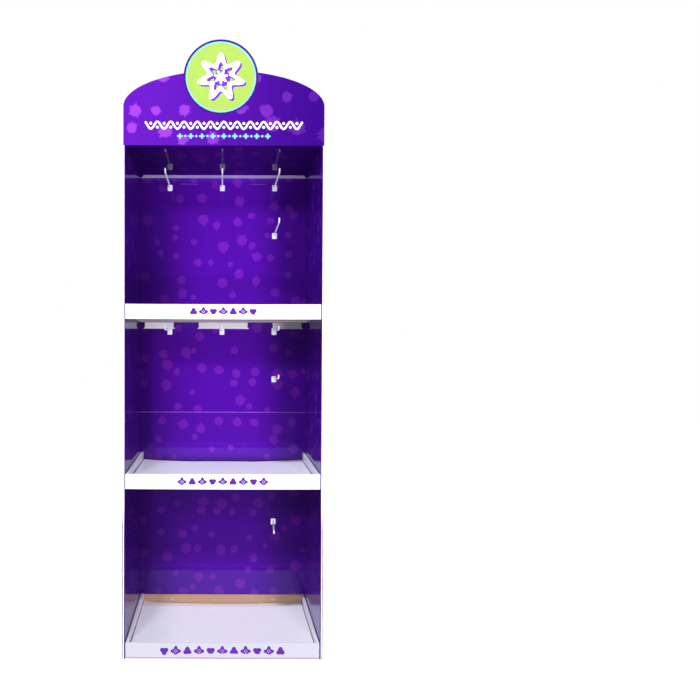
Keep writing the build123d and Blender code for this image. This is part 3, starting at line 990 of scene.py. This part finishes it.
def roundRim(angle):
    return np.ones_like(angle)


def filmDepths(level):
    front = film["proud"] * (1 + level)
    return np.array([front, front, -film["sunk"], -film["sunk"]])


def filmPart(plane, centre, radius, rim=roundRim, hole=0.0, level=0, stretch=(1.0, 1.0), turn=0.0, count=96):
    # Rings of one outline: the hole's edge and the rim, each in front and behind, closed into a thin film.
    angle = roundAngles(count)
    reach = rim(angle) * radius
    shares = np.array([hole, 1.0, 1.0, hole])[:, None]
    u = shares * (np.cos(angle) * reach) * stretch[0]
    v = shares * (np.sin(angle) * reach) * stretch[1]
    c, s = math.cos(turn), math.sin(turn)
    grid = onPlane(plane, centre[0] + c * u - s * v, centre[1] + s * u + c * v, filmDepths(level)[:, None])
    return gridPart(grid, closeRows=bool(hole))


def ribbonPart(plane, line, width, level=0):
    # A band of even width along a line, raised in front of the board and closed at both ends.
    along = unitSteps(line)
    side = np.stack([-along[:, 1], along[:, 0]], -1) * width / 2
    edges = np.stack([line + side, line - side, line - side, line + side], 1)
    return gridPart(onPlane(plane, edges[..., 0], edges[..., 1], filmDepths(level)), capEnds=True)


def onPlane(plane, u, v, depth):
    # The header and lips lie in x and z and face forward; the sides lie in y and z and face outward.
    side, level = plane
    if side == "front":
        return gridOf(u, level - depth, v)
    return gridOf(-level - depth if side == "left" else level + depth, u, v)


inkColours = {
    "inkViolet": (0.16, 0.03, 0.52),
    "inkPrint": (0.105, 0.014, 0.34),
    "inkDark": (0.045, 0.008, 0.19),
    "inkCyan": (0.21, 0.54, 0.64),
    "inkLime": (0.33, 0.5, 0.092),
    "inkWhite": (0.9, 0.88, 0.93),
    "inkYellow": (0.9, 0.62, 0.08),
    "inkOrange": (0.83, 0.27, 0.05),
    "inkTan": (0.61, 0.33, 0.13),
    "inkBlack": (0.025, 0.022, 0.03),
    "inkPink": (0.82, 0.33, 0.52),
    "inkGreen": (0.06, 0.4, 0.08),
    "inkRed": (0.72, 0.035, 0.03),
}
for inkName, inkColour in inkColours.items():
    makeInk(inkName, inkColour)

roundel = {
    "centreX": -8.5,
    "radius": 101.0,
    "inset": 0.4,
    "darkRing": 5.2,
    "cyanRing": 3.9,
    "starRadius": 66.0,
    "starHole": 0.6,
    "starPoints": 7,
    "starDepth": 0.42,
    "starSharp": 1.3,
    "petalRadius": 20.0,
    "petalDepth": 0.5,
    "shadowShift": 4.5,
    "shadowHole": 0.52,
    "dotRadius": 22.0,
    "dotShare": 0.8,
}


def makeRoundel():
    front = ("front", frontY)
    x, z = roundel["centreX"], headerTop - roundel["radius"]
    centre = (x, z)
    outer = roundel["radius"] - roundel["inset"]
    middle = outer - roundel["darkRing"]
    inner = middle - roundel["cyanRing"]
    shift = roundel["shadowShift"]
    inShift = roundel["dotShare"] * shift
    rim = starRim(roundel["starPoints"], roundel["starDepth"], roundel["starSharp"])
    star = {"radius": roundel["starRadius"], "rim": rim, "turn": math.pi / 2, "count": 168}
    petals = starRim(roundel["starPoints"], roundel["petalDepth"], twist=math.pi)
    films = {
        "roundelRing": ("inkDark", [filmPart(front, centre, outer, hole=middle / outer)]),
        "roundelHalo": ("inkCyan", [filmPart(front, centre, middle, hole=inner / middle)]),
        "roundelDisc": ("inkLime", [filmPart(front, centre, inner)]),
        "roundelShadow": ("inkViolet", [
            filmPart(front, (x + shift, z - shift), level=1, hole=roundel["shadowHole"], **star),
            filmPart(front, (x + inShift, z - inShift), roundel["dotRadius"], level=1),
        ]),
        "roundelStar": ("inkWhite", [
            filmPart(front, centre, level=2, hole=roundel["starHole"], **star),
            filmPart(front, centre, roundel["petalRadius"], petals, level=2, turn=math.pi / 2),
        ]),
    }
    for name, (ink, parts) in films.items():
        makePiece(name, parts, [ink])


makeRoundel()

headerRows = {
    "waveHalf": 214.0,
    "waveZ": 1461.0,
    "waveLength": 36.0,
    "waveHeight": 9.5,
    "waveBand": 5.4,
    "dotRadius": 3.8,
    "dotShift": 0.55,
    "lowZ": 1432.0,
    "lowStep": 14.896,
    "lowSize": 7.6,
    "lowDot": 0.42,
    "lowStretch": (1.1, 1.0),
}


def makeHeaderRows():
    front = ("front", frontY)
    half, length = headerRows["waveHalf"], headerRows["waveLength"]

    def waveAt(x, share):  # a cosine wave, drawn at a share of its height
        return headerRows["waveZ"] + share * headerRows["waveHeight"] * np.cos(2 * np.pi * x / length)

    x = np.linspace(-half, half, 420)
    parts = [ribbonPart(front, np.stack([x, waveAt(x, 1.0)], -1), headerRows["waveBand"])]
    for bend in np.arange(-11, 12) * length / 2:  # a dot in each bend, on its hollow side
        dot = (bend, waveAt(bend, -headerRows["dotShift"]))
        parts.append(filmPart(front, dot, headerRows["dotRadius"], count=20))
    makePiece("headerWave", parts, ["inkWhite"])
    parts = []
    for index in range(-8, 9):
        rim, share = (roundRim, headerRows["lowDot"]) if index % 2 else (starRim(4, 0.5, 0.8), 1.0)
        centre = (index * headerRows["lowStep"], headerRows["lowZ"])
        parts.append(filmPart(front, centre, headerRows["lowSize"] * share, rim,
                              stretch=headerRows["lowStretch"], count=32))
    makePiece("headerDiamonds", parts, ["inkCyan"])


makeHeaderRows()

lipRows = {
    "top": {"half": 94.0, "step": 27.0, "size": 12.5, "drop": 21.0},
    "middle": {"half": 126.0, "step": 28.0, "size": 12.5, "drop": 21.0},
    "bottom": {"half": 173.0, "step": 32.0, "size": 14.5, "drop": 23.0},
}


def makeLipRow(bay, half, step, size, drop):
    count = int((half - size / 2) // step)
    z = cornersOf("tray_" + bay)[1][2] - tray["sideRise"] - drop
    parts = []
    for index in range(-count, count + 1):
        x = index * step
        bowed = ("front", frontY - tray["lipBow"] * (1 - (x / halfLip) ** 2) * 0.5)
        if index % 2 == 0:
            parts.append(filmPart(bowed, (x, z), size, starRim(4, 0.42, 0.9), hole=0.34, count=48))
            parts.append(filmPart(bowed, (x, z), size * 0.2, count=16))
        else:
            parts.append(filmPart(bowed, (x, z), size * 0.85, starRim(3, 0.35, 0.9), count=48,
                                  turn=math.pi / 2 if index % 4 == 1 else -math.pi / 2))
    makePiece("lipOrnament_" + bay, parts, ["inkPrint"])


for bayName, row in lipRows.items():
    makeLipRow(bayName, **row)

sideArt = {
    "splashZ": 1245.0,
    "splashRadius": 108.0,
    "drops": ((0.6, 128, 6), (2.2, 134, 5), (3.9, 126, 7), (5.3, 136, 5), (1.4, 146, 4)),
    "bars": ((22.0, 58.0), (-20.0, 46.0)),
    "barWidth": 9.0,
    "barWave": (3.5, 29.0),
    "motifRadius": 58.0,
    "motifs": [
        (24.0, 1012.0, "inkYellow", starRim(12, 0.30, 0.7), "inkOrange", 0.52, starRim(6, 0.25)),
        (-34.0, 862.0, "inkBlack", starRim(16, 0.12, 1.0), "inkPink", 0.55, starRim(5, 0.30)),
        (30.0, 706.0, "inkTan", starRim(6, 0.22, 0.8), "inkWhite", 0.42, starRim(3, 0.35)),
        (-30.0, 548.0, "inkOrange", starRim(9, 0.38, 0.9), "inkYellow", 0.45, roundRim),
        (32.0, 388.0, "inkGreen", starRim(4, 0.45, 0.6), "inkLime", 0.42, starRim(4, 0.40)),
        (-26.0, 226.0, "inkRed", starRim(8, 0.34, 1.1), "inkDark", 0.36, starRim(8, 0.2)),
    ],
}


def makeSideArt(side):
    plane = (side, halfShell)
    flip = 1 if side == "left" else -1
    films = {}

    def put(ink, *args, **settings):
        films.setdefault(ink, []).append(filmPart(plane, *args, **settings))

    middle = (frontY + backY) / 2
    splashZ = sideArt["splashZ"]
    put("inkViolet", (middle, splashZ), sideArt["splashRadius"], splashRim(5, 15, 0.42), count=240,
        stretch=(0.98, 1.15))
    for angle, distance, size in sideArt["drops"]:
        centre = (middle + distance * 0.85 * math.cos(angle), splashZ + distance * math.sin(angle))
        put("inkViolet", centre, size, count=24)
    swing, length = sideArt["barWave"]
    for row, half in sideArt["bars"]:
        x = np.linspace(-half, half, 90)
        line = np.stack([middle + x, splashZ + row + swing * np.sin(2 * np.pi * x / length)], -1)
        films.setdefault("inkWhite", []).append(ribbonPart(plane, line, sideArt["barWidth"], level=1))
    for offset, z, outerInk, outerRim, innerInk, share, innerRim in sideArt["motifs"]:
        centre = (middle + flip * offset, z)
        put(outerInk, centre, sideArt["motifRadius"], outerRim, count=192)
        put(innerInk, centre, sideArt["motifRadius"] * share, innerRim, level=1)
        put("inkWhite", (centre[0] + flip * 3, centre[1] + 3), sideArt["motifRadius"] * 0.13, level=2, count=24)
    for ink, parts in films.items():
        makePiece(f"sidePrint_{side}_{ink[3:].lower()}", parts, [ink])


makeSideArt("left")
makeSideArt("right")
print("ornament printed")


# Studio: pale floor, a high soft lamp from the left, a low one from the right, a broad one overhead

studio = {
    "floorSize": 14000.0,
    "floorColour": (0.35, 0.35, 0.355),
    "floorGlow": (0.62, 0.98),
    "glowSpan": (-900.0, -320.0),
    "glossyShare": 0.10,
    "skyGlow": 0.22,
    "skyShine": 0.05,
    "target": (0.0, 0.0, 800.0),
}
lamps = {
    "highLamp": {"place": (-1833.0, -4776.0, 3078.0), "size": (900.0, 760.0), "power": 100.0},
    "lowLamp": {"place": (2100.0, -4710.0, 650.0), "size": (1300.0, 900.0), "power": 106.0},
    "topLamp": {"place": (0.0, -2900.0, 5050.0), "size": (2400.0, 500.0), "power": 235.0},
}


def makeLamp(name, settings):
    data = bpy.data.lights.new(name, "AREA")
    data.shape = "RECTANGLE"
    data.size, data.size_y = [value * mm for value in settings["size"]]
    data.energy = settings["power"]
    made = addObject(name, data)
    made.location = Vector(settings["place"]) * mm
    made.rotation_euler = (Vector(studio["target"]) * mm - made.location).to_track_quat("-Z", "Y").to_euler()
    made.visible_glossy = False


def makeFloor():
    # The floor glows for the camera and for soft light, and hardly at all in the glossy boards.
    half = studio["floorSize"] / 2 * mm
    mesh = bpy.data.meshes.new("studioFloor")
    mesh.from_pydata([(-half, -half, 0), (half, -half, 0), (half, half, 0), (-half, half, 0)], [], [(0, 1, 2, 3)])
    shader, place = startMaterial("studioFloor")
    far = between(splitAxes(place)[1], *studio["glowSpan"])
    low, high = studio["floorGlow"]
    glossy = addNode(shader.id_data, "ShaderNodeLightPath").outputs["Is Glossy Ray"]
    dim = scaled(glossy, studio["glossyShare"] - 1, 1.0)
    dull = tinted(studio["floorColour"], studio["glossyShare"])
    glaze(shader, mixColours(glossy, studio["floorColour"], dull), 0.8, specular=0.2)
    shader.inputs["Emission Color"].default_value = (1.0, 1.0, 1.0, 1.0)
    feed(shader.inputs["Emission Strength"], times(scaled(far, high - low, low), dim))
    mesh.materials.append(finishes["studioFloor"])
    addObject("studioFloor", mesh)


def makeSky():
    # White for the camera, dim as a light, dimmer still in the glossy boards.
    world = bpy.data.worlds.new("studioSky")
    world.use_nodes = True
    tree = world.node_tree
    rays = addNode(tree, "ShaderNodeLightPath").outputs
    sky = tree.nodes["Background"]
    sky.inputs[0].default_value = (1.0, 1.0, 1.0, 1.0)
    dim = scaled(rays["Is Glossy Ray"], studio["skyShine"] - studio["skyGlow"], studio["skyGlow"])
    feed(sky.inputs[1], calc("MAXIMUM", dim, rays["Is Camera Ray"]))
    scene.world = world
    scene.view_settings.view_transform = "Standard"
    scene.view_settings.look = "None"


for lampName, lampSettings in lamps.items():
    makeLamp(lampName, lampSettings)
makeFloor()
makeSky()
print("studio lit")
